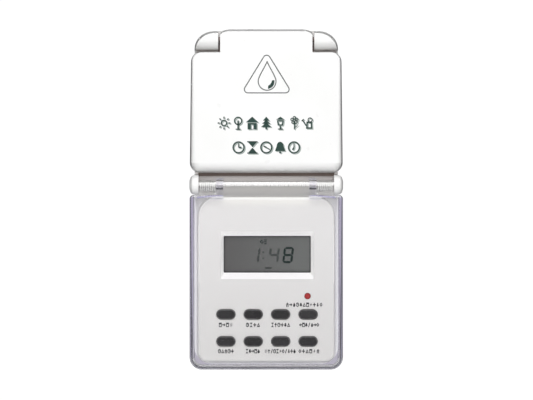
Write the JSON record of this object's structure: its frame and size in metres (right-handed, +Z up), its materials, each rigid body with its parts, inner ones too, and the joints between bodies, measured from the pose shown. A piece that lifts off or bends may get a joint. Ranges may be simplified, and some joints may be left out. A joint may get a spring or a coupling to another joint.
{
  "type": "outdoor plug-in time switch",
  "caption": "Outdoor plug-in digital time switch: mains plug behind, outlet under a sprung rain lid, timer with display and push buttons under a sprung clear cover.",
  "frame": {"origin": "centre of the plug's flat end face, between the two pins", "axes": "+X to the right seen from the front, +Z up, +Y towards the wall, along the plug pins; the lid, cover and buttons face -Y"},
  "size_m": [0.065, 0.081, 0.144],
  "materials": {
    "housing_white": "satin white moulding",
    "panel_white": "fine matt off-white moulding",
    "clear_plastic": "clear, glossy",
    "window_plastic": "clear, glossy",
    "steel": "bright",
    "nickel": "nickel plated",
    "brass": "bare",
    "button_rubber": "matt black",
    "mat_rubber": "matt grey",
    "seal_rubber": "matt grey",
    "reset_red": "satin red",
    "display_glass": "grey reflective display",
    "board": "green glass-fibre board",
    "black_plastic": "matt black",
    "blue_plastic": "gloss blue",
    "yellow_plastic": "gloss yellow",
    "wire_brown": "matt",
    "wire_black": "matt",
    "wire_blue": "matt"
  },
  "bodies": {
    "housing": {"rear_housing": "housing_white", "front_housing": "housing_white", "socket_insert": "housing_white", "housing_gasket": "seal_rubber", "contact_strip_lower": "seal_rubber", "contact_strip_upper": "seal_rubber", "keypad_mat": "mat_rubber", "housing_screw_1": "steel", "housing_screw_2": "steel", "housing_screw_3": "steel", "housing_screw_4": "steel", "lid_hinge_pin": "steel", "lid_spring": "steel", "cover_hinge_pin": "steel", "cover_spring_left": "steel", "cover_spring_right": "steel", "shutter_spring": "steel", "backup_battery": "steel", "plug_pin_live": "nickel", "plug_pin_neutral": "nickel", "socket_earth_clip": "nickel", "plug_earth_strip": "brass", "socket_contact_live": "brass", "socket_contact_neutral": "brass", "earth_link": "brass", "contact_carrier": "black_plastic", "controller_chip": "black_plastic", "storage_capacitor": "black_plastic", "film_capacitor": "yellow_plastic", "display_window": "window_plastic", "fuse": "window_plastic", "ribbon_cable": "window_plastic", "timer_panel": "panel_white", "display_panel": "display_glass", "logic_board": "board", "power_board": "board", "relay": "blue_plastic", "varistor": "blue_plastic", "live_wire": "wire_brown", "switched_wire": "wire_black", "neutral_wire": "wire_blue"},
    "socket_lid": {"socket_lid": "housing_white", "lid_seal": "seal_rubber"},
    "timer_cover": {"timer_cover": "clear_plastic"},
    "shutter": {"shutter": "yellow_plastic"},
    "reset_button": {"reset_button": "reset_red"},
    "button_week": {"button_week": "button_rubber"},
    "button_hour": {"button_hour": "button_rubber"},
    "button_minute": {"button_minute": "button_rubber"},
    "button_recall": {"button_recall": "button_rubber"},
    "button_clock": {"button_clock": "button_rubber"},
    "button_timer": {"button_timer": "button_rubber"},
    "button_mode": {"button_mode": "button_rubber"},
    "button_random": {"button_random": "button_rubber"}
  },
  "joints": [
    {"name": "lid_hinge", "type": "hinge", "parent": "housing", "child": "socket_lid", "pos_m": [0, -0.0577, 0.0305], "axis": [-1, 0, 0], "range_deg": [0, 110], "stiffness_Nm_per_rad": 0.02, "springref_deg": -28.65, "deforming": ["lid_spring"]},
    {"name": "cover_hinge", "type": "hinge", "parent": "housing", "child": "timer_cover", "pos_m": [0, -0.057, -0.0307], "axis": [-1, 0, 0], "range_deg": [0, 100], "stiffness_Nm_per_rad": 0.02, "springref_deg": -28.65, "deforming": ["cover_spring_left", "cover_spring_right"]},
    {"name": "shutter_turn", "type": "hinge", "parent": "housing", "child": "shutter", "pos_m": [0, -0.0336, 0], "axis": [0, 1, 0], "range_deg": [0, 35], "stiffness_Nm_per_rad": 0.002, "springref_deg": -17.19, "deforming": ["shutter_spring"]},
    {"name": "week_press", "type": "slide", "parent": "housing", "child": "button_week", "axis": [0, 1, 0], "range_m": [0, 0.0008], "stiffness_N_per_m": 250, "springref_m": -0.0004},
    {"name": "hour_press", "type": "slide", "parent": "housing", "child": "button_hour", "axis": [0, 1, 0], "range_m": [0, 0.0008], "stiffness_N_per_m": 250, "springref_m": -0.0004},
    {"name": "minute_press", "type": "slide", "parent": "housing", "child": "button_minute", "axis": [0, 1, 0], "range_m": [0, 0.0008], "stiffness_N_per_m": 250, "springref_m": -0.0004},
    {"name": "recall_press", "type": "slide", "parent": "housing", "child": "button_recall", "axis": [0, 1, 0], "range_m": [0, 0.0008], "stiffness_N_per_m": 250, "springref_m": -0.0004},
    {"name": "clock_press", "type": "slide", "parent": "housing", "child": "button_clock", "axis": [0, 1, 0], "range_m": [0, 0.0008], "stiffness_N_per_m": 250, "springref_m": -0.0004},
    {"name": "timer_press", "type": "slide", "parent": "housing", "child": "button_timer", "axis": [0, 1, 0], "range_m": [0, 0.0008], "stiffness_N_per_m": 250, "springref_m": -0.0004},
    {"name": "mode_press", "type": "slide", "parent": "housing", "child": "button_mode", "axis": [0, 1, 0], "range_m": [0, 0.0008], "stiffness_N_per_m": 250, "springref_m": -0.0004},
    {"name": "random_press", "type": "slide", "parent": "housing", "child": "button_random", "axis": [0, 1, 0], "range_m": [0, 0.0008], "stiffness_N_per_m": 250, "springref_m": -0.0004},
    {"name": "reset_press", "type": "slide", "parent": "housing", "child": "reset_button", "axis": [0, 1, 0], "range_m": [0, 0.0008], "stiffness_N_per_m": 250, "springref_m": -0.0004}
  ]
}
